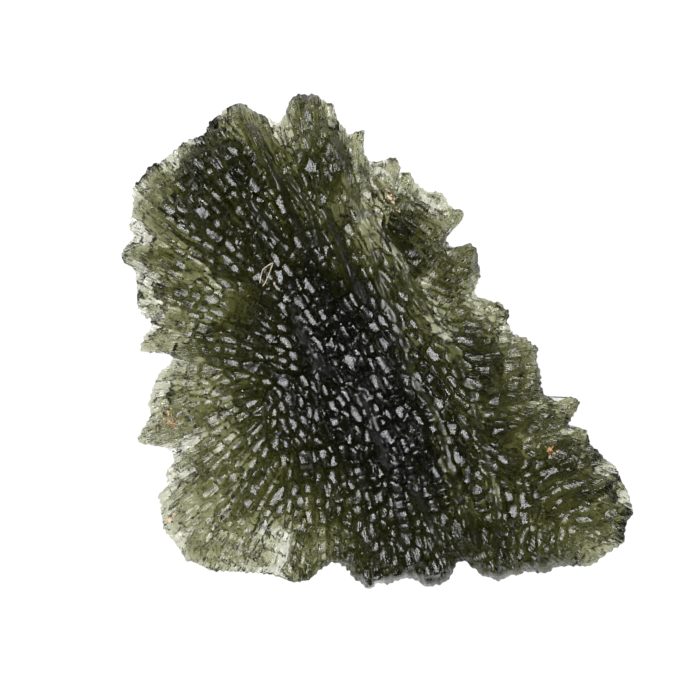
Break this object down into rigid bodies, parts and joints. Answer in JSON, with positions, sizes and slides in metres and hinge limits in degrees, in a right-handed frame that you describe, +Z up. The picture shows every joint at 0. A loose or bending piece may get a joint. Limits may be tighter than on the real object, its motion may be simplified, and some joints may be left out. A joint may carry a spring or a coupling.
{
  "type": "moldavite",
  "caption": "Flat, deeply etched piece of olive green natural glass with a jagged, toothed rim, lying on a small flat spot.",
  "frame": {"origin": "under the middle of the stone's box, on the surface that it lies on", "axes": "+Z up out of the broad upper face; +X to the right and +Y to the top of the picture, which looks straight down"},
  "size_m": [0.0356, 0.0344, 0.009],
  "materials": {
    "glass": "olive green natural glass with a lustrous, etched skin"
  },
  "bodies": {
    "root": {"moldavite": "glass"}
  },
  "joints": []
}
